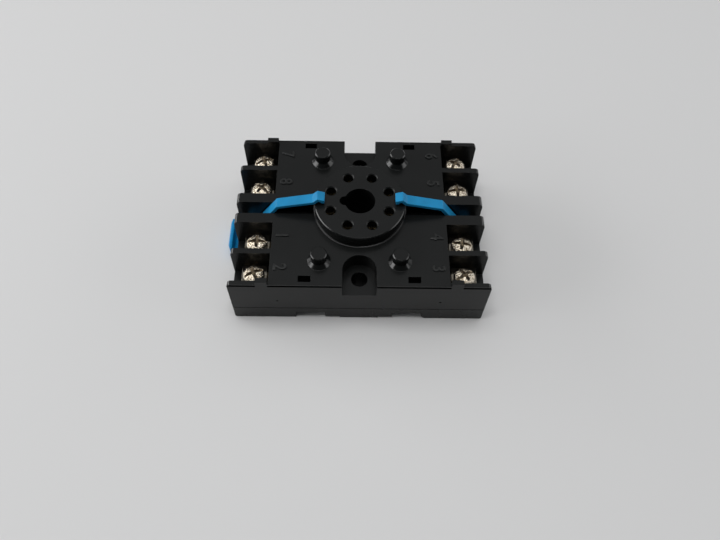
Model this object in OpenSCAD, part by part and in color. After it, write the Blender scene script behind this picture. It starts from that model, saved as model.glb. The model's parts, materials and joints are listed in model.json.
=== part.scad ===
// Relay socket for a plug-in relay with eight pins on a circle.
// The housing is fixed with two screws or snapped onto a flat rail.
// X runs along the socket, Y across it, and Z up from the mounting plane.

/* [Housing] */
// Length of the moulding along X
housing_length = 70; // [68:0.5:84]
// Width of the moulding along Y
housing_width = 50; // [49:0.5:60]
// Height of the top plate above the mounting plane
plate_height = 18.2; // [17.6:0.1:24]
// Length of the top plate between the two rows of terminal pockets
plate_length = 48.2; // [46.5:0.1:50]
// Radius on the upper outer corners of the barriers
barrier_corner_r = 1.3; // [0.3:0.1:1.6]
// Depth of the shadow grooves along the seams of the moulding
groove_depth = 0.35; // [0.1:0.05:0.5]

/* [Base] */
// Height of the base, up to its seam with the housing
base_height = 5.5; // [5:0.1:6.5]
// Chamfer on the lower corners of the base
base_chamfer = 0.4; // [0.2:0.1:1]
// Width of the recess that takes the mounting rail
rail_recess_width = 35.4; // [35.2:0.1:36]
// Depth of the rail recess
rail_recess_depth = 2.95; // [2.6:0.05:3.2]
// Reach of the fixed hook and the latch nose under the rail
rail_hook_reach = 1.5; // [1:0.1:2]

/* [Terminals] */
// Width of the channel that each hold-down lever lies in
channel_width = 3.8; // [3.4:0.1:4.4]
// Thickness of the wall between the channel and the inner pocket
channel_wall = 3.15; // [2.8:0.05:3.6]
// Thickness of the barrier between two pockets
barrier_thickness = 1.6; // [1.2:0.1:2.2]
// Thickness of the outer wall beside the outer pocket
end_wall = 1.25; // [1:0.05:2]
// Height of the pocket floor above the mounting plane
pocket_floor = 8.4; // [8:0.1:9]
// Distance from the inner wall of a pocket to its screw
screw_setback = 4.5; // [4.3:0.1:5.4]
// Width of the square clamp washer
washer_width = 6.8; // [6.4:0.1:7.6]
// Thickness of the clamp washer
washer_thickness = 0.8; // [0.6:0.1:1]
// Diameter of the screw's shank
screw_diameter = 3.4; // [3:0.1:3.6]
// Length of the screw under its head
screw_length = 8; // [7.2:0.1:8.6]
// Diameter of the screw's head
screw_head_diameter = 5.8; // [5.6:0.1:6.8]
// Height of the screw's head
screw_head_height = 2.3; // [1.8:0.1:2.6]
// Gap between washer and terminal plate with the screw slackened
clamp_opening = 3; // [2:0.1:3.2]

/* [Pin disc] */
// Diameter of the round pin disc
disc_diameter = 25.3; // [24:0.1:27]
// Height of the disc above the top plate
disc_rise = 3.7; // [3:0.1:4.4]
// Diameter of the circle through the pin holes
pin_circle_diameter = 17.45; // [17:0.05:18]
// Diameter of each pin hole
pin_hole_diameter = 2.8; // [2.6:0.1:3]
// Diameter of the central bore for the relay's key post
key_bore_diameter = 8.5; // [8:0.1:9]
// Distance from the bore's axis to the bottom of the key notch
key_notch_reach = 5.7; // [5.2:0.1:6]
// Width of the key notch
key_notch_width = 3; // [2:0.1:3.2]

/* [Contacts] */
// Thickness of the contact strip
strip_thickness = 1; // [0.8:0.1:1.2]
// Width of the contact strip
strip_width = 3.2; // [2.6:0.1:3.6]
// Outer diameter of the spring sleeve that grips a pin
sleeve_diameter = 3.5; // [3.2:0.1:3.8]
// Bore of the spring sleeve
sleeve_bore = 2.4; // [2.2:0.1:2.5]

/* [Mounting ears] */
// Distance between the two mounting holes
ear_spacing = 40; // [39:0.5:41]
// Diameter of each mounting hole
ear_hole_diameter = 4.5; // [4:0.1:5]
// Width of the recess round a mounting hole
ear_width = 9.2; // [8.6:0.1:10]
// Height of the recess floor above the mounting plane
ear_floor = 13; // [11:0.1:14]

/* [Locating pegs] */
// Distance of each peg from the middle, along X
peg_x = 10.9; // [10.5:0.1:11.5]
// Distance of each peg from the middle, along Y
peg_y = 17.3; // [17:0.1:18]
// Diameter of a peg
peg_diameter = 4.4; // [3.6:0.1:4.8]
// Diameter of the conical foot of a peg
peg_foot_diameter = 6.3; // [5.6:0.1:6.8]

/* [Snap fastening] */
// Distance of each snap window from the middle, along X
window_x = 14.6; // [14:0.1:15.4]
// Length of a snap window along X
window_length = 3.4; // [3:0.1:4]
// Width of a snap window along Y
window_width = 1.9; // [1.8:0.1:2.1]
// Width of the raised tab beside each outer pocket
tab_width = 3.2; // [2.6:0.1:4]
// Height of the raised tab above the top plate
tab_rise = 1.1; // [0.6:0.1:1.6]

/* [Hold-down levers] */
// Distance from the end of the housing to the lever's pivot
pivot_inset = 4.5; // [4.2:0.1:5]
// Height of the pivot above the mounting plane
pivot_height = 9; // [8.8:0.1:9.6]
// Diameter of the trunnions
trunnion_diameter = 2.2; // [1.8:0.1:2.6]
// Width of the lever's strap
lever_width = 3.1; // [2.8:0.1:3.3]
// Thickness of the lever's strap
lever_thickness = 1; // [0.8:0.05:1]

/* [Rail latch] */
// Width of the latch's tongue
tongue_width = 8; // [7:0.1:9]
// Thickness of the latch's tongue
tongue_thickness = 2.5; // [2.2:0.1:2.6]
// Width of the latch's pull lip
lip_width = 10.6; // [9.6:0.1:12]
// Reach of the pull lip beyond the housing
lip_reach = 3.6; // [3:0.1:4.5]
// Travel of the latch when it is pulled out
latch_travel = 3; // [2:0.1:3]

/* [Hidden] */
$fn = 48;

// Clearances
cut = 1;                 // how far a cutter runs past the face it opens
slip = 0.15;             // gap round a piece that drops into a cavity
fit = 0.05;              // radial gap of a shaft in its hole
seat_gap = 0.05;         // gap between two pieces that rest on each other

// Housing, derived
end_x = housing_length / 2;
side_y = housing_width / 2;
plate_x = plate_length / 2;
disc_r = disc_diameter / 2;
disc_top = plate_height + disc_rise;
pin_cavity_top = disc_top - 3.1;
groove_height = 0.8;      // height of the groove under the upper edge of a side
groove_drop = 0.4;        // height of the edge left above that groove
seam_height = 0.2;        // height of the groove along the seam with the base
disc_foot_r = 0.45;
disc_edge = 0.25;
pin_lead_in = 0.3;
key_bore_floor = base_height;
vent_d = 0.6;
vent_x = plate_x - 1.8;
vent_z = base_height + 4;
peg_foot_height = 1.1;
tab_depth = end_wall + 0.25;
tab_x = plate_x + 0.2;

// Pockets, from the channel outwards
channel_y = channel_width / 2;
inner_pocket_y = channel_y + channel_wall;
pocket_width = (side_y - end_wall - barrier_thickness - inner_pocket_y) / 2;
outer_pocket_y = inner_pocket_y + pocket_width + barrier_thickness;
pocket_starts = [inner_pocket_y, outer_pocket_y];
terminal_x = plate_x + screw_setback;
terminal_ys = [for (start = pocket_starts) start + pocket_width / 2];

// Contacts: a terminal plate in the pocket, then a strip to the sleeve under its pin hole
strip_top = pocket_floor + strip_thickness;
plate_side = min(pocket_width - 1.1, washer_width + 0.2);
plate_inner_x = plate_x + 0.3;
plate_outer_x = terminal_x + plate_side / 2;
sleeve_top = pin_cavity_top - 0.2;
slit_width = 0.5;
pin_angles = [22.5, 67.5];
function pin_at(row) = pin_circle_diameter / 2 * [cos(pin_angles[row]), sin(pin_angles[row])];
function strip_path(row) = [
    [terminal_x, terminal_ys[row]],
    [plate_x - (row == 0 ? 5 : 2), terminal_ys[row]],
    pin_at(row) + (row == 0 ? [4, 0] : [6.5, 4]),
    pin_at(row)
];
// Row 0 is the inner pocket and row 1 the outer one; the signs give the quarter of the socket.
function row_of(number) = [0, 1, 1, 0, 0, 1, 1, 0][number - 1];
function side_x(number) = number >= 3 && number <= 6 ? 1 : -1;
function side_sign_y(number) = number <= 4 ? -1 : 1;

// Screws and washers, as slackened
washer_bottom = strip_top + clamp_opening;
head_bottom = washer_bottom + washer_thickness + seat_gap;
recess_width = 0.9;
recess_depth = 1.2;
recess_share = 0.62;     // length of the cross recess over the head's diameter
rim_share = 0.35;        // height of the head's upright rim over the head's height
dome_steps = 12;
thread_chamfer = 0.4;
shank_well_r = screw_diameter / 2 + 0.4;
shank_well_floor = strip_top + washer_thickness - screw_length - 0.4;

// Base
rail_x = rail_recess_width / 2;
hook_gap = 1.2;
hook_height = rail_recess_depth - hook_gap;
hook_floor = 0.5;
hook_half_width = side_y - 6;
rail_lead_in = 1.1;
boss_r = ear_width / 2 + 0.8;
shoulder_x = boss_r + 4.1;
shoulder_floor = 0.6;
shoulder_depth = 9;
riser_trim = 0.3;

// Snap posts and their windows
window_y = side_y - end_wall + 0.2 - window_width / 2;
catch_depth = 0.6;
catch_height = plate_height - 6.2;
post_thickness = window_width - catch_depth - 2 * slip;
nose_height = 1.7;

// Levers: the strap's centre line, from the pivot to the toe that rests on the disc
pivot_x = end_x - pivot_inset;
hub_r = trunnion_diameter / 2 + 1.1;
trunnion_reach = channel_y + channel_wall - 0.75;
trunnion_hole_reach = trunnion_reach + slip;
channel_floor = pivot_height - hub_r - 0.4;
channel_sill = pocket_floor;
channel_sill_length = 2;
inner_channel_floor = plate_height - 4.4;
half_strap = lever_thickness / 2;
toe_z = disc_top + seat_gap + half_strap;
toe_rise = 1.25;         // height of the arch that steps over the rim of the disc
toe_fall = 0.4;          // how far the toe drops from the arch to its tip
lever_line = [
    [pivot_x, pivot_height],
    [plate_x - 1.2, plate_height + 2],
    [disc_r + 0.15, toe_z],
    [disc_r - 1.05, toe_z + toe_rise],
    [disc_r - 2.4, toe_z + toe_rise - toe_fall],
    [disc_r - 2.3, toe_z]
];

// Latch
tongue_floor = 0.6;
tongue_top = tongue_floor + tongue_thickness;
tunnel_slip = 0.12;
stop_peg_r = 1;
stop_peg_x = -(end_x + rail_x) / 2;
stop_gap = 0.1;
lip_gap = 0.3;
lip_top = tongue_floor + 4.4;
lip_corner = 0.5;        // chamfer along the lip's edges
lip_foot = 0.7;          // height of the chamfer under the lip
lip_crest = 1.2;         // width of the lip's crest
lip_root = 1.8;          // thickness of the lip where it joins the tongue
lip_taper = [0.6, 1.5];  // how much the ends of the lip are cut back along X and along Y
finger_height = 2.3;     // height at which the finger grip begins
nose_top = tongue_floor + hook_height - 0.45;
nose_ramp = 0.6;         // length of the slope that rides over the edge of the rail
nose_edge = 0.5;         // height of the nose's upright end
nose_relief = 0.1;       // gap between the nose and the tongue's heel

// A flat ribbon of constant width along a line, with mitred bends
function normal_of(span) = [-span[1], span[0]] / norm(span);
function mitre_at(points, i, offset) =
    let (last = len(points) - 1)
    let (before = normal_of(points[max(i, 1)] - points[max(i, 1) - 1]))
    let (after = normal_of(points[min(i, last - 1) + 1] - points[min(i, last - 1)]))
    points[i] + offset * (before + after) / (1 + before * after);
module ribbon(points, width) {
    last = len(points) - 1;
    polygon([
        for (i = [0 : last]) mitre_at(points, i, width / 2),
        for (i = [0 : last]) mitre_at(points, last - i, -width / 2)
    ]);
}

// A box given by its lowest and highest corners
module block(low, high) {
    translate(low)
        cube(high - low);
}

// Both halves of something that is modelled on the +X side
module both_ends() {
    children();
    mirror([1, 0, 0])
        children();
}

// Both halves of something that is modelled on the +Y side
module both_sides() {
    children();
    mirror([0, 1, 0])
        children();
}

// Something that is modelled in the quarter where X and Y are positive, moved to a numbered terminal
module at_terminal(number) {
    scale_x = side_x(number) > 0 ? 0 : 1;
    scale_y = side_sign_y(number) > 0 ? 0 : 1;
    mirror([scale_x, 0, 0])
        mirror([0, scale_y, 0])
            children();
}

// Outline of the housing seen from the front, with its upper corners rounded
module housing_outline() {
    r = barrier_corner_r;
    translate([-end_x, base_height])
        square([housing_length, plate_height - base_height - r]);
    translate([-end_x + r, base_height])
        square([housing_length - 2 * r, plate_height - base_height]);
    for (side = [-1, 1])
        translate([side * (end_x - r), plate_height - r])
            circle(r = r);
}

// Outline of the base seen from the front, with its lower corners chamfered
module base_outline() {
    polygon([
        [-end_x + base_chamfer, 0], [end_x - base_chamfer, 0],
        [end_x, base_chamfer], [end_x, base_height],
        [-end_x, base_height], [-end_x, base_chamfer]
    ]);
}

// Something drawn from the front and carried across the socket, between two values of Y
module across(from_y, to_y) {
    translate([0, to_y, 0])
        rotate([90, 0, 0])
            linear_extrude(to_y - from_y)
                children();
}

// One open terminal pocket
module pocket(row) {
    block([plate_x, pocket_starts[row], pocket_floor],
          [end_x + cut, pocket_starts[row] + pocket_width, plate_height + cut]);
}

// The cavity that a contact is laid into from below
module contact_cavity(row) {
    terminal_y = terminal_ys[row];
    translate([0, 0, base_height - cut])
        linear_extrude(strip_top - base_height + cut)
            intersection() {
                ribbon(strip_path(row), strip_width + 2 * slip);
                square(2 * (plate_x + slip), center = true);
            }
    block([plate_inner_x - slip, terminal_y - plate_side / 2 - slip, base_height - cut],
          [plate_outer_x + slip, terminal_y + plate_side / 2 + slip, pocket_floor + cut]);
    translate([pin_at(row)[0], pin_at(row)[1], base_height - cut])
        cylinder(d = sleeve_diameter + 2 * slip, h = pin_cavity_top - base_height + cut);
}

// A pin hole with its lead-in chamfer
module pin_hole(row) {
    translate([pin_at(row)[0], pin_at(row)[1], 0]) {
        translate([0, 0, pin_cavity_top - cut])
            cylinder(d = pin_hole_diameter, h = disc_top - pin_cavity_top + 2 * cut);
        translate([0, 0, disc_top - pin_lead_in])
            cylinder(d1 = pin_hole_diameter, d2 = pin_hole_diameter + 2 * pin_lead_in + 0.02,
                     h = pin_lead_in + 0.01);
    }
}

// The round disc, with a rounded foot and a broken upper edge
module pin_disc() {
    rotate_extrude($fn = 96)
        union() {
            polygon([
                [0, base_height], [disc_r, base_height], [disc_r, disc_top - disc_edge],
                [disc_r - disc_edge, disc_top], [0, disc_top]
            ]);
            difference() {
                translate([disc_r - disc_foot_r, plate_height - disc_foot_r])
                    square(2 * disc_foot_r);
                translate([disc_r + disc_foot_r, plate_height + disc_foot_r])
                    circle(r = disc_foot_r);
            }
        }
}

// A locating peg on its conical foot
module peg() {
    foot_r = peg_foot_diameter / 2;
    peg_r = peg_diameter / 2;
    translate([peg_x, peg_y, 0])
        rotate_extrude()
            polygon([
                [0, plate_height - cut], [foot_r, plate_height - cut], [foot_r, plate_height],
                [peg_r, plate_height + peg_foot_height], [peg_r, disc_top - disc_edge],
                [peg_r - disc_edge, disc_top], [0, disc_top]
            ]);
}

// The recess round a mounting hole, round inside and open at the side of the housing
module ear_recess() {
    translate([0, ear_spacing / 2, ear_floor]) {
        cylinder(d = ear_width, h = plate_height - ear_floor + cut);
        translate([-ear_width / 2, 0, 0])
            cube([ear_width, side_y - ear_spacing / 2 + cut, plate_height - ear_floor + cut]);
    }
}

// The mounting hole through the housing and the base
module ear_hole() {
    translate([0, ear_spacing / 2, -cut])
        cylinder(d = ear_hole_diameter, h = plate_height + 2 * cut);
}

// A snap window: wide above the catch and narrow below it
module snap_window() {
    half = window_length / 2;
    block([window_x - half, window_y - window_width / 2, base_height - cut],
          [window_x + half, window_y + window_width / 2 - catch_depth, plate_height + cut]);
    block([window_x - half, window_y - window_width / 2, catch_height],
          [window_x + half, window_y + window_width / 2, plate_height + cut]);
}

// A snap post of the base, with its nose over the catch
module snap_post() {
    inner = window_y - window_width / 2 + slip;
    outer = inner + post_thickness;
    base_z = catch_height + slip;
    translate([window_x - window_length / 2 + slip, 0, 0])
        rotate([90, 0, 90])
            linear_extrude(window_length - 2 * slip)
                polygon([
                    [inner, base_height - cut], [outer, base_height - cut], [outer, base_z],
                    [outer + catch_depth, base_z], [outer + catch_depth, base_z + nose_height / 3],
                    [outer, base_z + nose_height], [inner, base_z + nose_height]
                ]);
}

// The channel that a lever lies in: deep round the pivot, with a low sill at the open end
module lever_channel() {
    block([plate_x, -channel_y, channel_floor], [end_x - channel_sill_length, channel_y, plate_height + cut]);
    block([plate_x, -channel_y, channel_sill], [end_x + cut, channel_y, plate_height + cut]);
    block([0, -channel_y, inner_channel_floor], [plate_x + cut, channel_y, plate_height + cut]);
}

// The two blind holes for a lever's trunnions
module trunnion_holes() {
    translate([pivot_x, trunnion_hole_reach, pivot_height])
        rotate([90, 0, 0])
            cylinder(d = trunnion_diameter + 2 * fit, h = 2 * trunnion_hole_reach);
}

// The central bore for the relay's key post, with its notch
module key_bore() {
    translate([0, 0, key_bore_floor - cut])
        cylinder(d = key_bore_diameter, h = disc_top - key_bore_floor + 2 * cut, $fn = 96);
    notch_centre = key_notch_reach - key_notch_width / 2;
    translate([-notch_centre, 0, key_bore_floor - cut])
        cylinder(d = key_notch_width, h = disc_top - key_bore_floor + 2 * cut);
    block([-notch_centre, -key_notch_width / 2, key_bore_floor - cut],
          [0, key_notch_width / 2, disc_top + cut]);
}

// The raised tab beside an outer pocket, which runs down to the pocket floor
module tab() {
    block([tab_x, side_y - tab_depth, base_height], [tab_x + tab_width, side_y, plate_height + tab_rise]);
}

// The shadow groove under the upper edge of a side, left out at the tabs
module side_groove() {
    groove_z = plate_height - groove_drop - groove_height;
    for (span = [[0, tab_x], [tab_x + tab_width, end_x + cut]])
        block([span[0], side_y - groove_depth, groove_z], [span[1], side_y + cut, groove_z + groove_height]);
}

module upper_housing() {
    color("#242626")
        difference() {
            union() {
                difference() {
                    across(-side_y, side_y)
                        housing_outline();
                    both_ends()
                        both_sides()
                            for (row = [0, 1])
                                pocket(row);
                    both_ends()
                        lever_channel();
                    both_ends()
                        both_sides()
                            side_groove();
                }
                both_ends()
                    both_sides() {
                        tab();
                        peg();
                    }
                pin_disc();
            }
            both_ends()
                both_sides() {
                    for (row = [0, 1]) {
                        contact_cavity(row);
                        pin_hole(row);
                    }
                    snap_window();
                }
            both_ends()
                trunnion_holes();
            both_sides() {
                ear_recess();
                ear_hole();
            }
            key_bore();
            for (side = [-1, 1])
                translate([side * vent_x, -side_y + 1, vent_z])
                    rotate([90, 0, 0])
                        cylinder(d = vent_d, h = 1 + cut);
        }
}

// What stands up from the base under one contact, with the well for the screw's tip
module contact_riser(row) {
    terminal_y = terminal_ys[row];
    half = plate_side / 2 - riser_trim;
    translate([0, 0, base_height - cut])
        linear_extrude(pocket_floor - base_height + cut)
            intersection() {
                ribbon(strip_path(row), strip_width - 2 * riser_trim);
                square(2 * terminal_x, center = true);
            }
    block([plate_inner_x + riser_trim, terminal_y - half, base_height - cut],
          [plate_outer_x - riser_trim, terminal_y + half, pocket_floor]);
}

// The well in the base for the tip of a screw, and the relief under a sleeve
module base_wells(row) {
    translate([terminal_x, terminal_ys[row], shank_well_floor])
        cylinder(r = shank_well_r, h = pocket_floor);
    translate([pin_at(row)[0], pin_at(row)[1], rail_recess_depth + 1])
        cylinder(d = sleeve_bore, h = pocket_floor);
}

// The rail recess, its fixed hook left standing and its bosses round the mounting holes
module rail_recess() {
    island_top = rail_recess_depth + cut;
    both_sides()
        across(hook_half_width, side_y + cut)
            polygon([
                [rail_x - cut, -cut], [rail_x + rail_lead_in + cut, -cut],
                [rail_x - cut, rail_lead_in + cut]
            ]);
    difference() {
        block([-rail_x, -side_y - cut, -cut], [rail_x, side_y + cut, rail_recess_depth]);
        block([rail_x - rail_hook_reach, -hook_half_width, hook_floor],
              [rail_x + cut, hook_half_width, hook_height]);
        both_sides() {
            translate([0, ear_spacing / 2, -2 * cut])
                cylinder(r = boss_r, h = island_top + 2 * cut);
            block([-boss_r, ear_spacing / 2, -2 * cut], [boss_r, side_y + 2 * cut, island_top]);
            block([-shoulder_x, side_y - shoulder_depth, shoulder_floor],
                  [shoulder_x, side_y + 2 * cut, island_top]);
        }
    }
}

// The tunnel that the latch slides in
module latch_tunnel() {
    half = tongue_width / 2 + tunnel_slip;
    block([-end_x - cut, -half, tongue_floor - tunnel_slip], [-rail_x + cut, half, tongue_top + tunnel_slip]);
}

module base() {
    color("#2a2c2c")
        difference() {
            union() {
                difference() {
                    across(-side_y, side_y)
                        base_outline();
                    rail_recess();
                    latch_tunnel();
                }
                translate([stop_peg_x, 0, 0])
                    cylinder(r = stop_peg_r, h = base_height);
                both_ends()
                    both_sides() {
                        for (row = [0, 1])
                            contact_riser(row);
                        snap_post();
                    }
            }
            both_ends()
                both_sides()
                    for (row = [0, 1])
                        base_wells(row);
            both_sides()
                ear_hole();
            both_sides()
                block([-end_x - cut, side_y - groove_depth, base_height - seam_height],
                      [end_x + cut, side_y + cut, base_height + cut]);
        }
}

// One stamped contact: tapped terminal plate, strip and slit spring sleeve
module contact(number) {
    row = row_of(number);
    pin = pin_at(row);
    color("#c8a860")
        at_terminal(number)
            difference() {
                union() {
                    block([plate_inner_x, terminal_ys[row] - plate_side / 2, pocket_floor],
                          [plate_outer_x, terminal_ys[row] + plate_side / 2, strip_top]);
                    translate([0, 0, pocket_floor])
                        linear_extrude(strip_thickness)
                            ribbon(strip_path(row), strip_width);
                    translate([pin[0], pin[1], pocket_floor])
                        cylinder(d = sleeve_diameter, h = sleeve_top - pocket_floor);
                }
                translate([terminal_x, terminal_ys[row], 0])
                    cylinder(d = screw_diameter + 2 * fit, h = plate_height);
                translate([pin[0], pin[1], 0]) {
                    cylinder(d = sleeve_bore, h = disc_top);
                    rotate(pin_angles[row])
                        block([0, -slit_width / 2, strip_top + 1],
                              [sleeve_diameter, slit_width / 2, disc_top]);
                }
            }
}

// A square clamp washer
module washer(number) {
    row = row_of(number);
    color("#c9c4b6")
        at_terminal(number)
            translate([terminal_x, terminal_ys[row], washer_bottom])
                difference() {
                    translate([0, 0, washer_thickness / 2])
                        cube([washer_width, washer_width, washer_thickness], center = true);
                    translate([0, 0, -cut])
                        cylinder(d = screw_diameter + 6 * fit, h = washer_thickness + 2 * cut);
                }
}

// A terminal screw with a domed head and crossed slots
module screw(number) {
    row = row_of(number);
    head_r = screw_head_diameter / 2;
    shank_r = screw_diameter / 2;
    rim = screw_head_height * rim_share;
    dome = screw_head_height - rim;
    recess_r = head_r * recess_share;
    color("#d5d0c4")
        at_terminal(number)
            translate([terminal_x, terminal_ys[row], head_bottom])
                difference() {
                    rotate_extrude()
                        polygon([
                            [0, -screw_length],
                            [shank_r - thread_chamfer, -screw_length],
                            [shank_r, -screw_length + thread_chamfer],
                            [shank_r, 0], [head_r, 0],
                            for (step = [0 : dome_steps - 1])
                                [
                                    head_r * cos(90 * step / dome_steps),
                                    rim + dome * sin(90 * step / dome_steps)
                                ],
                            [0, screw_head_height]
                        ]);
                    for (turn = [0, 90])
                        rotate(turn)
                            translate([-recess_r, -recess_width / 2, screw_head_height - recess_depth])
                                cube([2 * recess_r, recess_width, recess_depth + cut]);
                }
}

// The right-hand hold-down lever: strap, hub and trunnions
module lever() {
    color("#2f93d0") {
        across(-lever_width / 2, lever_width / 2) {
            ribbon(lever_line, lever_thickness);
            translate([pivot_x, pivot_height])
                circle(r = hub_r);
        }
        translate([pivot_x, trunnion_reach, pivot_height])
            rotate([90, 0, 0])
                cylinder(d = trunnion_diameter, h = 2 * trunnion_reach);
    }
}

module hold_down_lever_right() {
    lever();
}

module hold_down_lever_left() {
    mirror([1, 0, 0])
        lever();
}

// The latch seen from the front: tongue, hooked nose and upturned pull lip
module rail_latch() {
    lip_x = -end_x - lip_gap;
    lip_end = -end_x - lip_reach;
    crest_x = lip_end + lip_crest;
    half_lip = lip_width / 2;
    nose_x = -rail_x + rail_hook_reach;
    heel_x = -rail_x - nose_relief;
    color("#2478b4")
        difference() {
            union() {
                across(-tongue_width / 2, tongue_width / 2)
                    polygon([
                        [lip_x - lip_corner, tongue_floor], [nose_x - nose_ramp, tongue_floor],
                        [nose_x, nose_top - nose_edge], [nose_x, nose_top],
                        [heel_x, nose_top], [heel_x, tongue_top], [lip_x - lip_corner, tongue_top]
                    ]);
                intersection() {
                    across(-half_lip, half_lip)
                        polygon([
                            [lip_x, tongue_floor], [lip_end + lip_corner, tongue_floor],
                            [lip_end, tongue_floor + lip_foot], [lip_end, lip_top - lip_corner],
                            [lip_end + lip_corner, lip_top], [crest_x, lip_top],
                            [crest_x + lip_corner, tongue_floor + finger_height],
                            [lip_x, tongue_floor + lip_root]
                        ]);
                    linear_extrude(lip_top + cut)
                        polygon([
                            [lip_x + cut, -half_lip], [lip_x + cut, half_lip],
                            [lip_end + lip_taper[0], half_lip], [lip_end, half_lip - lip_taper[1]],
                            [lip_end, lip_taper[1] - half_lip], [lip_end + lip_taper[0], -half_lip]
                        ]);
                }
            }
            block([stop_peg_x - stop_peg_r - stop_gap, -stop_peg_r - stop_gap, -cut],
                  [stop_peg_x + stop_peg_r + stop_gap + latch_travel, stop_peg_r + stop_gap, base_height]);
        }
}

upper_housing();
base();
contact(1);  // contact_1
contact(2);  // contact_2
contact(3);  // contact_3
contact(4);  // contact_4
contact(5);  // contact_5
contact(6);  // contact_6
contact(7);  // contact_7
contact(8);  // contact_8
washer(1);  // washer_1
washer(2);  // washer_2
washer(3);  // washer_3
washer(4);  // washer_4
washer(5);  // washer_5
washer(6);  // washer_6
washer(7);  // washer_7
washer(8);  // washer_8
screw(1);  // screw_1
screw(2);  // screw_2
screw(3);  // screw_3
screw(4);  // screw_4
screw(5);  // screw_5
screw(6);  // screw_6
screw(7);  // screw_7
screw(8);  // screw_8
hold_down_lever_left();
hold_down_lever_right();
rail_latch();
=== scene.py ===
# %% [markdown]
# # A plug-in relay socket, dressed for the camera
# The socket is a black moulding in two parts. A round disc in its middle takes the eight pins of a
# relay, and open pockets at both ends hold the terminal screws. Two blue levers hold the relay down,
# and a blue latch grips the mounting rail. The model of the construction is loaded first, as a fixed
# frame. Everything made below is placed from that frame, so no piece needs fitting by eye.

# %% Load the frame
import json
import math

import bmesh
import bpy
import numpy as np
from mathutils import Matrix, Vector


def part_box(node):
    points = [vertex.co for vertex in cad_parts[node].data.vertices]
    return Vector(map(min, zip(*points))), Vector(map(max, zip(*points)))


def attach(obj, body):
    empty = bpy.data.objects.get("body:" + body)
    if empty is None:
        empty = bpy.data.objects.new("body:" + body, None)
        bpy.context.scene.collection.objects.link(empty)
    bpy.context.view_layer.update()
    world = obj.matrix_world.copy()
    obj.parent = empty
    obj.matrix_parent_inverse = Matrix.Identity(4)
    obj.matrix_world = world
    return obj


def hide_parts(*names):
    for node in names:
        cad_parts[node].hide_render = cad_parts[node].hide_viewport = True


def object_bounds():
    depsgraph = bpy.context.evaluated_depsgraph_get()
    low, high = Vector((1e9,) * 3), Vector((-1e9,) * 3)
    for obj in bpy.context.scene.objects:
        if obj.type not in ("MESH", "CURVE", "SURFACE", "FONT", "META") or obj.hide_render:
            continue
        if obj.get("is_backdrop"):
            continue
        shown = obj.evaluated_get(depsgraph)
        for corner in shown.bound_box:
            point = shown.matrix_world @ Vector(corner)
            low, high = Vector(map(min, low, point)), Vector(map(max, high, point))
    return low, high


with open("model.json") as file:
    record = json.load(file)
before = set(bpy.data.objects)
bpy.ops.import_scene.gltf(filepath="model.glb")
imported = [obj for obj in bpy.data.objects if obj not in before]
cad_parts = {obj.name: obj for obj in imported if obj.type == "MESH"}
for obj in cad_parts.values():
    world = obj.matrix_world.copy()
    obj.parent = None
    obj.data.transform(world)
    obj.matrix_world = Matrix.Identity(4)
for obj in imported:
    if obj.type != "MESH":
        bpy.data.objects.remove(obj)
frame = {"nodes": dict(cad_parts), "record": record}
NODES = frame["nodes"]
MM = 0.001
cad_low, cad_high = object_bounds()
print("frame:", len(NODES), "pieces,", [round((h - l) / MM, 1) for l, h in zip(cad_low, cad_high)], "mm")

# %% [markdown]
# ## The camera
# The socket is seen from above and in front, a little left of its middle, by a lens of moderate length.
# A camera can be aimed with three angles. Here they are kept as the view's own words: how far it looks
# down, how far it is turned to the right, and how far it is rolled. A rotation built from those three
# stays readable, and each can be changed by itself.

# %% Camera
CAMERA_AT = Vector((-2.16, -110.15, 168.46)) * MM
LOOK_DOWN = math.radians(59.06)
TURN_RIGHT = math.radians(1.45)
ROLL = math.radians(1.90)
LENS_MM = 32.93


def make_camera():
    """The camera looks along its own -Z, so it is tipped up from straight down, turned, then rolled."""
    data = bpy.data.cameras.new("camera")
    data.lens = LENS_MM
    data.sensor_width = 36.0
    camera = bpy.data.objects.new("camera", data)
    bpy.context.scene.collection.objects.link(camera)
    tip = Matrix.Rotation(math.pi / 2 - LOOK_DOWN, 4, "X")
    turn = Matrix.Rotation(-TURN_RIGHT, 4, "Z")
    roll = Matrix.Rotation(ROLL, 4, "Z")
    camera.matrix_world = Matrix.Translation(CAMERA_AT) @ turn @ tip @ roll
    data.clip_start = 0.01
    data.clip_end = 20.0
    bpy.context.scene.camera = camera
    return camera


camera = make_camera()
away = camera.location - Vector((0, 0, cad_high.z))
print("camera:", round(away.length / MM), "mm from the pin disc")

# %% [markdown]
# ## Helpers for materials
# Every finish is a small graph of nodes. One class keeps the graph short to write: it adds a node, sets
# its inputs and wires links in one call, so that a material below reads as a list of what it is made
# of.

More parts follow.
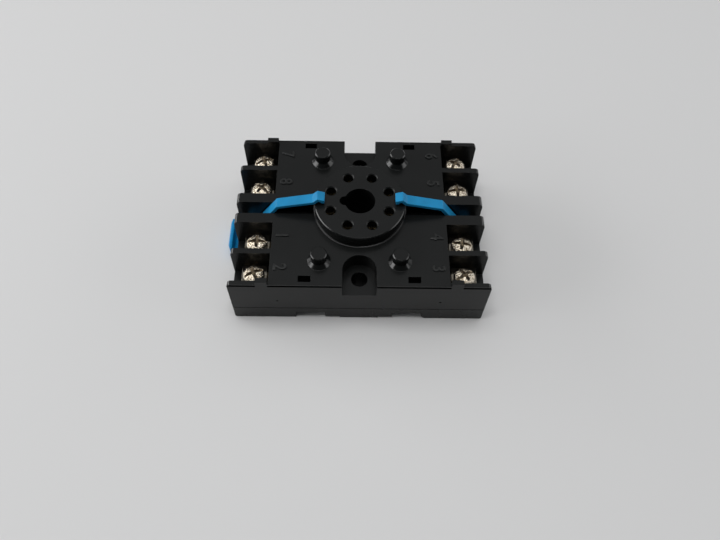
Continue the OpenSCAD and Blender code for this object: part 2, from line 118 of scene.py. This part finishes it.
# %% Node graph helper
class Finish:
    """A new material and its nodes. A (node, output) pair in place of a value is linked."""

    def __init__(self, name):
        self.material = bpy.data.materials.new(name)
        self.material.use_nodes = True
        self.tree = self.material.node_tree
        self.tree.nodes.clear()
        self.out = self.tree.nodes.new("ShaderNodeOutputMaterial")

    def put(self, kind, settings=None, **inputs):
        """Adds a node; the keywords are its inputs, with _ for each space in their names."""
        node = self.tree.nodes.new(kind)
        for key, value in (settings or {}).items():
            setattr(node, key, value)
        for key, value in inputs.items():
            self.feed(node.inputs[key.replace("_", " ")], value)
        return node

    def feed(self, socket, value):
        """Links a socket to a (node, output) pair, or writes a plain value into it."""
        if isinstance(value, tuple) and len(value) == 2 and isinstance(value[0], bpy.types.Node):
            self.tree.links.new(value[0].outputs[value[1]], socket)
        else:
            socket.default_value = value

    def math(self, operation, *values):
        """A Math node: its inputs are filled in order."""
        node = self.put("ShaderNodeMath", {"operation": operation})
        for socket, value in zip(node.inputs, values):
            self.feed(socket, value)
        return node

    def mix(self, data_type, first_socket, share, a, b):
        """A Mix node: a where share is 0, b where it is 1. Each data type has its own first socket."""
        node = self.put("ShaderNodeMix", {"data_type": data_type})
        for socket, value in ((0, share), (first_socket, a), (first_socket + 1, b)):
            self.feed(node.inputs[socket], value)
        return node

    def varied(self, source, base, low, high):
        """The base colour times a factor that runs from low to high between two values of the source."""
        (start, least), (end, most) = low, high
        dark, light = (tuple(min(c * k, 1.0) for c in base) for k in (least, most))
        return self.ramp(source, [(start, dark), (end, light)]), "Color"

    def span(self, source, low, high):
        """A MapRange node that takes 0..1 to low..high."""
        node = self.put("ShaderNodeMapRange", Value=source)
        self.feed(node.inputs["To Min"], low)
        self.feed(node.inputs["To Max"], high)
        return node, "Result"

    def ramp(self, source, stops):
        """A colour ramp: stops are (place, grey or colour) pairs."""
        node = self.put("ShaderNodeValToRGB", Fac=source)
        elements = node.color_ramp.elements
        while len(elements) < len(stops):
            elements.new(0.5)
        for element, (place, colour) in zip(elements, stops):
            element.position = place
            grey = colour if isinstance(colour, tuple) else (colour,) * 3
            element.color = (*grey, 1.0)
        return node

    def close(self, shader):
        """Joins the shader to the output; the material is finished."""
        self.tree.links.new(shader.outputs[0], self.out.inputs["Surface"])
        return self.material


def dress(piece, material):
    """Puts one material on a whole piece."""
    piece.data.materials.clear()
    piece.data.materials.append(material)


print("helpers ready")

# %% [markdown]
# ## Black moulded plastic
# The housing is moulded in black plastic. The tool was spark-eroded where it forms the level faces and
# the upright walls, which leaves a very fine matt grain. The roundings, cones and rims between them
# were polished with the cutter's last pass, so they draw thin bright lines. The plastic itself is
# almost black: what makes a level face look dark grey is the light that it mirrors. One material does
# it all. It picks the roughness and the strength of the mirroring by how far the surface faces up.
# Close round the pin holes, where the relay is plugged in again and again, the rims are worn dull, and
# so is the rounded foot of the disc, a little. Both are found by their distance from the disc's axis.
# The pin numbers wear a second, slightly greyer version: a painted highlight on their raised tops.

# %% Black plastic
CLOUD_SCALE, GRAIN_SCALE = 90.0, 5200.0
GRAIN_HEIGHT = 0.012 * MM
CLOUD_ROUGHNESS, DULLED_ROUGHNESS = 0.06, 0.2
WALL_MIRROR, SLOPE_MIRROR, TOP_MIRROR, DULLED_MIRROR = 0.20, 0.46, 0.26, 0.26
UPRIGHT_TO, LEVEL_FROM, LEVEL = 0.08, 0.93, 0.995
DISC_REACH = 14.0 * MM
DULLED = [(0.0, 1.0), (0.795, 1.0), (0.80, 0.0), (0.90, 0.0), (0.905, 0.6), (0.995, 0.6), (1.0, 0.0)]


def by_slope(f, level, wall, between, top):
    """A value over |normal z|: wall on upright faces, top on level ones, and between on all others."""
    stops = [(0.0, wall), (UPRIGHT_TO, between), (LEVEL_FROM, between), (LEVEL, top)]
    return f.ramp(level, stops), "Color"


def black_plastic(name, base, matt, polished):
    """Roughness and mirroring are functions of |normal z|, eased towards dull by a ramp over the
    distance from the axis divided by DISC_REACH. Noise adds faint clouds to the roughness and the
    colour, and a fine grain as bump."""
    f = Finish(name)
    place = f.put("ShaderNodeTexCoord")
    where = (place, "Object")
    facing = f.put("ShaderNodeSeparateXYZ", Vector=(place, "Normal"))
    level = (f.math("ABSOLUTE", (facing, "Z")), 0)
    clouds = f.put("ShaderNodeTexNoise", Vector=where, Scale=CLOUD_SCALE, Detail=3.0, Roughness=0.5)
    cloud = (clouds, "Fac")
    flat_place = f.put("ShaderNodeVectorMath", {"operation": "MULTIPLY"})
    f.feed(flat_place.inputs[0], where)
    f.feed(flat_place.inputs[1], (1.0, 1.0, 0.0))
    from_axis = f.put("ShaderNodeVectorMath", {"operation": "LENGTH"}, Vector=(flat_place, "Vector"))
    share_of_reach = f.math("DIVIDE", (from_axis, "Value"), DISC_REACH)
    dulled = (f.ramp((share_of_reach, 0), DULLED), "Color")
    slope_rough = by_slope(f, level, matt, polished, matt)
    more_rough = by_slope(f, level, 0.0, DULLED_ROUGHNESS, 0.0)
    dull_rough = f.math("MULTIPLY_ADD", dulled, more_rough, slope_rough)
    rough = f.math("MULTIPLY_ADD", cloud, CLOUD_ROUGHNESS, (dull_rough, 0))
    slope_mirror = by_slope(f, level, WALL_MIRROR, SLOPE_MIRROR, TOP_MIRROR)
    mirror = f.mix("FLOAT", 2, dulled, slope_mirror, DULLED_MIRROR)
    tint = f.varied(cloud, base, (0.3, 0.86), (0.7, 1.16))
    grain = f.put("ShaderNodeTexNoise", Vector=where, Scale=GRAIN_SCALE, Detail=2.0, Roughness=0.6)
    bump = f.put("ShaderNodeBump", Height=(grain, "Fac"), Strength=0.2, Distance=GRAIN_HEIGHT)
    shader = f.put("ShaderNodeBsdfPrincipled", Base_Color=tint, Roughness=(rough, 0), IOR=1.5,
                   Specular_IOR_Level=(mirror, 0), Normal=(bump, "Normal"))
    return f.close(shader)


HOUSING_BLACK = black_plastic("housing_black", (0.0055, 0.0061, 0.0060), 0.22, 0.16)
# A greyer copy for the pin numbers: painted highlight on their raised tops.
HIGHLIT_BLACK = black_plastic("housing_black_highlit", (0.0125, 0.0133, 0.0131), 0.30, 0.18)
BASE_BLACK = black_plastic("base_black", (0.0060, 0.0066, 0.0063), 0.24, 0.12)
print("black plastics:", HOUSING_BLACK.name, HIGHLIT_BLACK.name, BASE_BLACK.name)

# %% [markdown]
# ## Blue moulded plastic
# The levers and the latch are moulded in a bright blue nylon. It is dyed through, slightly glossy, and
# it scatters a little light under its skin, so its edges never look hard. A little subsurface
# scattering with a very short reach gives that look, and a soft noise keeps the gloss from being
# perfectly even.

# %% Blue plastic
FLOW_SCALE = 260.0
FLOW_DEPTH = 0.05 * MM
BLUE_MIRROR = 0.2
SCATTER_SHARE, SCATTER_REACH = 0.08, 0.4 * MM


def blue_plastic(name, base, roughness):
    """Dyed nylon: even colour, soft gloss, a short scatter under the skin."""
    f = Finish(name)
    place = f.put("ShaderNodeTexCoord")
    noise = f.put("ShaderNodeTexNoise", Vector=(place, "Object"), Scale=FLOW_SCALE, Detail=2.0,
                  Roughness=0.5)
    flow = (noise, "Fac")
    tint = f.varied(flow, base, (0.35, 0.92), (0.65, 1.06))
    gloss = f.span(flow, roughness - 0.05, roughness + 0.07)
    bump = f.put("ShaderNodeBump", Height=flow, Strength=0.15, Distance=FLOW_DEPTH)
    shader = f.put("ShaderNodeBsdfPrincipled", Base_Color=tint, Roughness=gloss, IOR=1.5,
                   Specular_IOR_Level=BLUE_MIRROR, Subsurface_Weight=SCATTER_SHARE,
                   Subsurface_Scale=SCATTER_REACH, Normal=(bump, "Normal"))
    return f.close(shader)


LEVER_BLUE = blue_plastic("lever_blue", (0.015, 0.242, 0.485), 0.34)
LATCH_BLUE = blue_plastic("latch_blue", (0.005, 0.222, 0.49), 0.34)
print("blue plastics:", LEVER_BLUE.name, LATCH_BLUE.name)

# %% [markdown]
# ## Plated metal
# The screws and washers are steel with a thin bright nickel plating, which is slightly warm in colour.
# The washers' colour is painted much darker than the screws', as painted shade for the dark walls that
# their flat tops mirror.
# The plating is glossy, but the metal under it was cold-headed and barrelled, so it is never flat: a
# low bump breaks each reflection into bright and dark patches. A dark brown is painted into the driver
# recess as painted shade, more where it lies deeper. How much of it a point carries is stored with the
# mesh.

# %% Plated steel and brass
DENT_SCALE, SPOT_SCALE = 2600.0, 2200.0
TARNISH = (0.26, 0.21, 0.14)
TARNISHED_TO, BRIGHT_FROM = 0.38, 0.54
# Dark brown painted into the driver recess as painted shade.
RECESS_SHADE_BROWN = (0.055, 0.034, 0.012)


def plated_metal(name, base, roughness, ripple, with_recess_shade=False):
    """Glossy metal: a shallow ripple breaks its reflections and tarnish spots dull it; where asked, a
    dark brown painted shade is mixed into the driver recess.
    """
    f = Finish(name)
    place = f.put("ShaderNodeTexCoord")
    where = (place, "Object")
    dents = f.put("ShaderNodeTexNoise", Vector=where, Scale=DENT_SCALE, Detail=3.0, Roughness=0.65)
    spots = f.put("ShaderNodeTexNoise", Vector=where, Scale=SPOT_SCALE, Detail=4.0, Roughness=0.65)
    dull = tuple(c * k for c, k in zip(base, TARNISH))
    colour = (f.ramp((spots, "Fac"), [(TARNISHED_TO, dull), (BRIGHT_FROM, base)]), "Color")
    # Painted shade: the dark brown is mixed in by each point's stored share of it.
    if with_recess_shade:
        film = f.put("ShaderNodeAttribute", {"attribute_name": "film"})
        colour = (f.mix("RGBA", 6, (film, "Fac"), colour, (*RECESS_SHADE_BROWN, 1.0)), 2)
    gloss = f.span((spots, "Fac"), roughness + 0.06, roughness - 0.05)
    bump = f.put("ShaderNodeBump", Height=(dents, "Fac"), Strength=1.0, Distance=ripple)
    shader = f.put("ShaderNodeBsdfPrincipled", Base_Color=colour, Roughness=gloss, Metallic=1.0,
                   Normal=(bump, "Normal"))
    return f.close(shader)


# The screws carry the painted recess shade.
SCREW_PLATED = plated_metal("screw_plated", (0.86, 0.78, 0.65), 0.18, 0.24 * MM, with_recess_shade=True)
# Much darker than the screws' nickel: painted shade for the dark pocket walls the washers mirror.
DARKENED_WASHER_NICKEL = plated_metal("washer_plated", (0.30, 0.28, 0.24), 0.10, 0.003 * MM)
CONTACT_BRASS = plated_metal("contact_brass", (0.66, 0.52, 0.30), 0.24, 0.012 * MM)
print("metals:", SCREW_PLATED.name, DARKENED_WASHER_NICKEL.name, CONTACT_BRASS.name)

# %% [markdown]
# ## Which body and which finish each piece takes
# The record of the frame says which pieces move together and which finish each one wears. Two small
# tables are made from it, so that a new piece only has to name the piece of the frame that it stands
# for.

# %% Tables from the record
BODY_OF = {node: body for body, nodes in frame["record"]["behaviour"]["bodies"].items() for node in nodes}
SLOT_OF = {part["node"]: part["material_slot"] for part in frame["record"]["subparts"]}
FINISH_OF = {"housing_black": HOUSING_BLACK, "base_black": BASE_BLACK, "lever_blue": LEVER_BLUE,
             "latch_blue": LATCH_BLUE, "washer_plated": DARKENED_WASHER_NICKEL, "screw_plated": SCREW_PLATED,
             "contact_brass": CONTACT_BRASS}


def add_piece(name, mesh, node, stands_for_it=True):
    """A new piece that rides on the same body as a piece of the frame, and wears its finish."""
    piece = bpy.data.objects.new(name, mesh)
    bpy.context.scene.collection.objects.link(piece)
    dress(piece, FINISH_OF[SLOT_OF[node]])
    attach(piece, BODY_OF[node])
    if stands_for_it:
        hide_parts(node)
    return piece


for name, node in NODES.items():
    dress(node, FINISH_OF[SLOT_OF[name]])
print("bodies:", len(set(BODY_OF.values())), "finishes:", len(FINISH_OF))

# %% [markdown]
# ## Edges of the mouldings
# No moulded edge is perfectly sharp: the tool has a small radius wherever it was milled, and that
# radius draws a thin bright line along each edge. The frame's pieces have exact edges, so a copy of
# each one is merged, its flat faces are joined again, and its sharp edges are rounded over. An edge is
# left alone where a neighbour is too short to make room for the radius, so that no face folds over
# another.

# %% Rounded copies
FLAT = math.radians(1.0)
SHARP = math.radians(28.0)
SAME_POINT = 0.001 * MM


def rounded_copy(node, radius, segments=2, room=1.5):
    """Merge, join coplanar faces, then bevel sharp edges with neighbours longer than room x radius."""
    mesh = bpy.data.meshes.new(node + "_rounded")
    shape = bmesh.new()
    shape.from_mesh(NODES[node].data)
    bmesh.ops.remove_doubles(shape, verts=shape.verts, dist=SAME_POINT)
    bmesh.ops.dissolve_limit(shape, angle_limit=FLAT, verts=shape.verts, edges=shape.edges,
                             delimit={"NORMAL"})
    shape.normal_update()
    rounding = shape.faces.layers.bool.new("rounding")
    shortest = {v: min(e.calc_length() for e in v.link_edges) for v in shape.verts}
    chosen = [e for e in shape.edges if e.is_manifold and e.calc_face_angle(0.0) > SHARP
              and min(shortest[v] for v in e.verts) > room * radius]
    made = bmesh.ops.bevel(shape, geom=chosen, offset=radius, offset_type="OFFSET", segments=segments,
                           profile=0.5, affect="EDGES", clamp_overlap=True)
    for face in made["faces"]:
        face[rounding] = True
    shape.to_mesh(mesh)
    shape.free()
    even_normals(mesh)
    return mesh, len(chosen)


print("rounding helper ready")

# %% [markdown]
# A flat face next to a rounding must still look flat, so the turn from one face to the next has to
# happen inside the rounding alone. That is decided corner by corner. A corner of an ordinary face takes
# the mean of the ordinary faces that meet there at a small angle, which keeps a flat face flat and a
# drilled hole round. A corner of a rounding takes the normal of the ordinary face it touches.

# %% Normals
TINY = 1e-12
WITHIN_ROUNDING = math.radians(62.0)


def unit(v):
    """Each row divided by its length."""
    return v / np.maximum(np.linalg.norm(v, axis=1, keepdims=True), TINY)


def read(collection, key, width, kind=np.float64):
    """One property of every element, as an array with a row for each."""
    values = np.empty(len(collection) * width, dtype=kind)
    collection.foreach_get(key, values)
    return values.reshape(-1, width) if width > 1 else values


def even_normals(mesh, near=math.cos(SHARP), close=math.cos(WITHIN_ROUNDING)):
    """Corner normals from all pairs of corners that share a vertex, weighted by the faces' areas."""
    faces = mesh.polygons
    face_of = np.repeat(np.arange(len(faces)), read(faces, "loop_total", 1, np.int32))
    normal = read(faces, "normal", 3)[face_of]
    area = read(faces, "area", 1)[face_of]
    soft = read(mesh.attributes["rounding"].data, "value", 1, bool)[face_of]
    vertex = read(mesh.loops, "vertex_index", 1, np.int32)
    order = np.argsort(vertex, kind="stable")
    first = np.searchsorted(vertex[order], vertex)
    count = np.bincount(vertex, minlength=len(mesh.vertices))[vertex]
    one = np.repeat(np.arange(len(vertex)), count)
    step = np.arange(len(one)) - np.repeat(np.cumsum(count) - count, count)
    two = order[first[one] + step]
    dot = np.einsum("ij,ij->i", normal[one], normal[two])
    result = np.zeros((len(vertex), 3))
    for like, limit in ((False, near), (True, close)):
        pick = (soft[one] == like) & (soft[two] == like) & (dot > limit)
        np.add.at(result, one[pick], normal[two[pick]] * (area[two[pick], None] + TINY))
    result = unit(result)
    rank = np.argsort(dot, kind="stable")
    rank = rank[soft[one[rank]] & ~soft[two[rank]] & (dot[rank] > close)]
    result[one[rank]] = result[two[rank]]
    mesh.shade_smooth()
    mesh.normals_split_custom_set(result.tolist())


print("normals helper ready")

# %% [markdown]
# ## The five mouldings
# The two black parts have small radii. The blue levers and the latch have larger ones, because they are
# handled, and they get one more segment so that the larger rounding stays smooth. Each copy takes the
# place of its piece of the frame.

# %% Moulded pieces
RADIUS_OF = {"upper_housing": 0.12, "base": 0.12,
             "hold_down_lever_left": 0.16, "hold_down_lever_right": 0.16, "rail_latch": 0.3}
for node, radius in RADIUS_OF.items():
    mesh, count = rounded_copy(node, radius * MM, segments=2 if "black" in SLOT_OF[node] else 3)
    add_piece(node + "_moulded", mesh, node)
    print(node, "has", count, "rounded edges")

# %% [markdown]
# ## Clamp washers
# Each washer is a square plate that stays on its screw. It is stamped, so its edges are rolled over a
# little on the upper side.

# %% Washers
WASHER_EDGE = 0.09 * MM
for number in range(1, 9):
    node = f"washer_{number}"
    mesh, count = rounded_copy(node, WASHER_EDGE)
    add_piece(node + "_stamped", mesh, node)
print("washers: 8, with", count, "rounded edges each")

# %% [markdown]
# ## Terminal screws
# A terminal screw is cold-headed and its thread is rolled. Both of its surfaces are rows of points
# round its axis, so one helper joins them into a mesh. Each surface starts and ends on the axis, where
# the row shrinks to a single point, so it is closed. Next to each point it stores how much painted
# shade lies there, which darkens the driver recess.

# %% A closed surface of rows round an axis
CREASE = math.radians(50.0)


def around_axis(name, parts):
    """Joins closed surfaces given as (x, y, z, painted recess shade), arrays of rows x columns that end
    on the axis.
    """
    points, recess_shades, faces, start = [], [], [], 0
    for x, y, z, film in parts:
        rows, columns = z.shape
        stack = np.stack([x, y, z, film + 0.0 * z], axis=-1)
        body = np.concatenate([stack[1:-1].reshape(-1, 4), stack[:1, 0], stack[-1:, 0]])
        points.append(body[:, :3])
        recess_shades.append(body[:, 3])
        ring = np.arange(columns)
        after = np.roll(ring, -1)
        row = start + np.arange(rows - 3)[:, None] * columns
        quads = np.stack([row + ring, row + columns + ring, row + columns + after, row + after], axis=-1)
        faces += quads.reshape(-1, 4).tolist()
        top, last = start + len(body) - 2, start + (rows - 3) * columns
        faces += np.stack([np.full(columns, top), start + ring, start + after], axis=-1).tolist()
        faces += np.stack([np.full(columns, top + 1), last + after, last + ring], axis=-1).tolist()
        start += len(body)
    mesh = bpy.data.meshes.new(name)
    mesh.from_pydata(np.concatenate(points).tolist(), [], faces)
    # Stores each point's share of painted recess shade.
    mesh.attributes.new("film", "FLOAT", "POINT").data.foreach_set("value", np.concatenate(recess_shades))
    mesh.shade_smooth()
    mesh.set_sharp_from_angle(angle=CREASE)
    return mesh


print("surface helper ready")

# %% [markdown]
# The head is a low dome with a combined recess: a cross for one kind of driver and a slot for the
# other, and the slot runs out through the side of the dome. It is worked out over a polar grid, with a
# row of points for each radius and a column for each direction. The height of a point is the height of
# the dome, less the depth of the recess there. Below the rim the surface turns under. The shank is the
# second surface, with a helical ridge for the thread. The heads are turned by different amounts,
# because nobody lines up terminal screws.

# %% Screw head and shank
HEAD_R, HEAD_HEIGHT, HEAD_RIM = 2.9, 2.3, 0.8
EDGE_BAND, EDGE_ROWS = 0.06, 8
CROSS_REACH, CROSS_HALF, CROSS_TAPER, CROSS_DEPTH = 1.9, 0.52, 0.09, 1.45
CROSS_RISE = 0.45
SLOT_HALF, SLOT_DEPTH = 0.34, 1.0
EDGE_SOFT = 0.1
# Depth at which the painted recess shade is full, and its greatest share.
SHADE_FULL_DEPTH, SHADE_MOST = 0.4, 0.85
SHANK_R, THREAD_PITCH, THREAD_DEPTH = 1.7, 0.6, 0.28
SHANK_INTO_HEAD = 0.1
TIP_LENGTH, TIP_SHARE = 0.5, 0.75
HEAD_TURNS = [0, 25, 35, -8, 5, 60, 20, -40]


def inside(distance):
    """1 where distance is well inside, 0 well outside, with a smooth step of EDGE_SOFT between them."""
    t = np.clip(distance / EDGE_SOFT + 0.5, 0.0, 1.0)
    return t * t * (3.0 - 2.0 * t)


def recessed(dome, x, y):
    """The dome's height less the recess: cross arms |y| < half - taper |x|, and a slot |y| < half."""
    arm_x = inside(CROSS_HALF - CROSS_TAPER * abs(x) - abs(y)) * inside(CROSS_REACH - abs(x))
    arm_y = inside(CROSS_HALF - CROSS_TAPER * abs(y) - abs(x)) * inside(CROSS_REACH - abs(y))
    cross_floor = HEAD_HEIGHT - CROSS_DEPTH + CROSS_RISE * np.hypot(x, y)
    cross = dome - np.maximum(arm_x, arm_y) * np.maximum(dome - cross_floor, 0.0)
    slot = dome - inside(SLOT_HALF - abs(y)) * np.maximum(dome - (HEAD_HEIGHT - SLOT_DEPTH), 0.0)
    return np.minimum(cross, slot)


def head_surface(turn, columns=192, dome_rows=44, rim_rows=4):
    """Dome z = rim + (height - rim) sqrt(1 - (r/R)^2), an upright rim, and a flat underside to the axis.
    The rows crowd together in the outer EDGE_BAND of the radius, where the dome falls most steeply."""
    angle = np.linspace(0.0, 2 * math.pi, columns, endpoint=False)[None, :]
    share = np.concatenate([np.linspace(0.0, 1.0 - EDGE_BAND, dome_rows - EDGE_ROWS),
                            1.0 - EDGE_BAND * np.linspace(0.9, 0.0, EDGE_ROWS) ** 2])[:, None]
    x, y = HEAD_R * share * np.cos(angle), HEAD_R * share * np.sin(angle)
    dome = HEAD_RIM + (HEAD_HEIGHT - HEAD_RIM) * np.sqrt(np.maximum(1.0 - share ** 2, 0.0)) + 0.0 * x
    z = recessed(dome, x, y)
    # Painted shade in the recess: the deeper below the dome, the more dark brown.
    film = np.clip((dome - z) / SHADE_FULL_DEPTH, 0.0, 1.0) * SHADE_MOST
    drop = np.linspace(1.0, 0.0, rim_rows + 1)[1:, None]
    rim_z = z[-1:] * drop
    x = np.concatenate([x, x[-1:] + 0.0 * rim_z, 0.0 * angle])
    y = np.concatenate([y, y[-1:] + 0.0 * rim_z, 0.0 * angle])
    z = np.concatenate([z, rim_z, 0.0 * angle])
    film = np.concatenate([film, 0.0 * rim_z, 0.0 * angle])
    c, s = math.cos(turn), math.sin(turn)
    return c * x - s * y, s * x + c * y, z, film


def shank_surface(length, columns=32, rows_per_turn=8):
    """r = R - depth |2 f - 1| with f the fraction of (z / pitch - angle / 2 pi): a helical ridge.
    The last TIP_LENGTH tapers to TIP_SHARE of that, and the top reaches a little into the head."""
    angle = np.linspace(0.0, 2 * math.pi, columns, endpoint=False)[None, :]
    z = -np.linspace(0.0, length, int(length / THREAD_PITCH * rows_per_turn))[:, None] + 0.0 * angle
    fraction = (z / THREAD_PITCH - angle / (2 * math.pi)) % 1.0
    taper = np.clip((z + length) / TIP_LENGTH, 0.0, 1.0)
    r = (SHANK_R - THREAD_DEPTH * abs(2.0 * fraction - 1.0)) * (TIP_SHARE + (1.0 - TIP_SHARE) * taper)
    cap = 0.0 * angle
    z = np.concatenate([cap + SHANK_INTO_HEAD, z, cap - length])
    r = np.concatenate([cap, r, cap])
    return r * np.cos(angle), r * np.sin(angle), z, 0.0


for number, turn in enumerate(HEAD_TURNS, start=1):
    node = f"screw_{number}"
    low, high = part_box(node)
    axis = [(a + b) / 2 / MM for a, b in zip(low, high)]
    seat = high[2] / MM - HEAD_HEIGHT
    surfaces = [head_surface(math.radians(turn)), shank_surface(seat - low[2] / MM)]
    placed = [((x + axis[0]) * MM, (y + axis[1]) * MM, (z + seat) * MM, film)
              for x, y, z, film in surfaces]
    screw = add_piece(node + "_threaded", around_axis(node + "_threaded", placed), node)
print("screws: 8, each with", len(screw.data.polygons), "faces")

# %% [markdown]
# ## Pin numbers
# The number of each pin stands beside its terminal, in low raised figures moulded with the plate. They
# are read from the left-hand end of the socket, so their upper side points along +X. A figure is set as
# text, given a small thickness, and made a mesh before it is put in its place.

# %% Pin numbers
DIGIT_SIZE = 4.9
DIGIT_RAISE = 0.26
DIGIT_EDGE = 0.12
NARROWED = 0.86
DIGIT_X = 21.2
PLATE_TOP = 18.2
# digit: end of the socket (-1 left), side of it (-1 front), and row (0 inner, 1 outer)
PIN_NUMBERS = {7: (-1, 1, 1), 8: (-1, 1, 0), 1: (-1, -1, 0), 2: (-1, -1, 1),
               6: (1, 1, 1), 5: (1, 1, 0), 4: (1, -1, 0), 3: (1, -1, 1)}
TERMINAL_YS = [(low[1] + high[1]) / 2 / MM for low, high in (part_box(f"screw_{n}") for n in (5, 6))]


def raised_digit(digit, x, y, z):
    """Text centred on its middle, its upper side turned to +X, and sunk a little into the plate."""
    text = bpy.data.curves.new(f"digit_{digit}", "FONT")
    text.body = str(digit)
    text.size = DIGIT_SIZE * MM
    text.extrude = DIGIT_RAISE * MM
    text.bevel_depth = DIGIT_EDGE * MM
    text.align_x = "CENTER"
    holder = bpy.data.objects.new("holder", text)
    bpy.context.scene.collection.objects.link(holder)
    mesh = bpy.data.meshes.new_from_object(holder)
    bpy.data.objects.remove(holder)
    where = read(mesh.vertices, "co", 3)
    where[:, :2] -= (where[:, :2].min(axis=0) + where[:, :2].max(axis=0)) / 2
    where[:, 0] *= NARROWED
    where = np.stack([where[:, 1] + x * MM, -where[:, 0] + y * MM, where[:, 2] + z * MM], axis=-1)
    mesh.vertices.foreach_set("co", where.ravel())
    piece = add_piece(f"pin_number_{digit}", mesh, "upper_housing", stands_for_it=False)
    # The figures take the greyer black, a painted highlight.
    dress(piece, HIGHLIT_BLACK)


for digit, (end, side, row) in PIN_NUMBERS.items():
    raised_digit(digit, end * DIGIT_X, side * TERMINAL_YS[row], PLATE_TOP)
print("pin numbers:", len(PIN_NUMBERS))

# %% [markdown]
# ## Floor and light
# The socket lies on a plain pale floor. Black plastic mostly shows what it mirrors, so each lamp is
# there for one group of faces. A soft lamp overhead lights the floor and the levers. A wide dim one
# high behind is what the level faces mirror. Two low, long lamps, the brighter on the left, are caught
# by the foot of each peg and by every round edge. The world is darker in front than behind, so the
# upright faces towards the camera and the front halves of the peg feet stay almost black. The lamps are
# large, which keeps the shadows soft.

# %% Floor, lamps and world
FLOOR_HALF = 1.2
FLOOR_DROP = 0.02 * MM
FLOOR_GREY = 0.69
LAMP_DISTANCE = 0.95
# name: azimuth and elevation in degrees, width and height in metres, radiance
LAMPS = {"lamp_over": (180, 84, 0.50, 0.90, 3.70), "lamp_back": (90, 54, 1.30, 0.62, 0.33),
         "lamp_left": (176, 16.5, 1.26, 0.32, 4.8), "lamp_right": (8, 16.5, 1.16, 0.30, 2.0)}
WORLD_FRONT, WORLD_BEHIND = 0.04, 0.20
FRONT_TO, BEHIND_FROM = -0.6, 0.3
SKY = (0.95, 0.97, 1.0, 1.0)


def make_floor():
    """A large square just under the socket."""
    mesh = bpy.data.meshes.new("floor")
    h = FLOOR_HALF
    mesh.from_pydata([(-h, -h, 0), (h, -h, 0), (h, h, 0), (-h, h, 0)], [], [(0, 1, 2, 3)])
    floor = bpy.data.objects.new("floor", mesh)
    bpy.context.scene.collection.objects.link(floor)
    f = Finish("floor_pale")
    shader = f.put("ShaderNodeBsdfPrincipled", Base_Color=(*(FLOOR_GREY,) * 3, 1.0), Roughness=0.8)
    dress(floor, f.close(shader))
    floor.location.z = -FLOOR_DROP
    floor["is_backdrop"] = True


def soft_lamp(name, azimuth, elevation, width, height, radiance):
    """A rectangular area lamp that faces the socket; its power is radiance x pi x width x height."""
    data = bpy.data.lights.new(name, "AREA")
    data.shape = "RECTANGLE"
    data.size = width
    data.size_y = height
    data.energy = radiance * math.pi * width * height
    lamp = bpy.data.objects.new(name, data)
    bpy.context.scene.collection.objects.link(lamp)
    a, e = math.radians(azimuth), math.radians(elevation)
    towards = Vector((math.cos(e) * math.cos(a), math.cos(e) * math.sin(a), math.sin(e)))
    lamp.location = towards * LAMP_DISTANCE
    lamp.rotation_euler = towards.to_track_quat("Z", "Y").to_euler()


def make_world(front, behind):
    """A pale glow. With y the second part of the direction, its strength is front below y = FRONT_TO,
    behind above y = BEHIND_FROM, and runs straight from one to the other between them."""
    world = bpy.data.worlds.new("studio")
    world.use_nodes = True
    tree = world.node_tree
    back = tree.nodes["Background"]
    back.inputs["Color"].default_value = SKY
    place = tree.nodes.new("ShaderNodeTexCoord")
    axes = tree.nodes.new("ShaderNodeSeparateXYZ")
    glow = tree.nodes.new("ShaderNodeMapRange")
    for key, value in (("From Min", FRONT_TO), ("From Max", BEHIND_FROM),
                       ("To Min", front), ("To Max", behind)):
        glow.inputs[key].default_value = value
    tree.links.new(place.outputs["Generated"], axes.inputs["Vector"])
    tree.links.new(axes.outputs["Y"], glow.inputs["Value"])
    tree.links.new(glow.outputs["Result"], back.inputs["Strength"])
    bpy.context.scene.world = world


make_floor()
for name, values in LAMPS.items():
    soft_lamp(name, *values)
make_world(WORLD_FRONT, WORLD_BEHIND)
bpy.context.scene.view_settings.view_transform = "Standard"
print("stage: floor,", len(LAMPS), "lamps and a pale world")

# %% [markdown]
# ## The size at the end
# The dressed socket must keep the size of its construction, or it would no longer fit its rail and its
# relay. The box round all pieces is written down as it was when the frame was loaded and as it is now.

# %% Print the visual box and finish
low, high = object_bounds()
print("visual box:", [round((h - l) / MM, 2) for l, h in zip(low, high)], "mm")
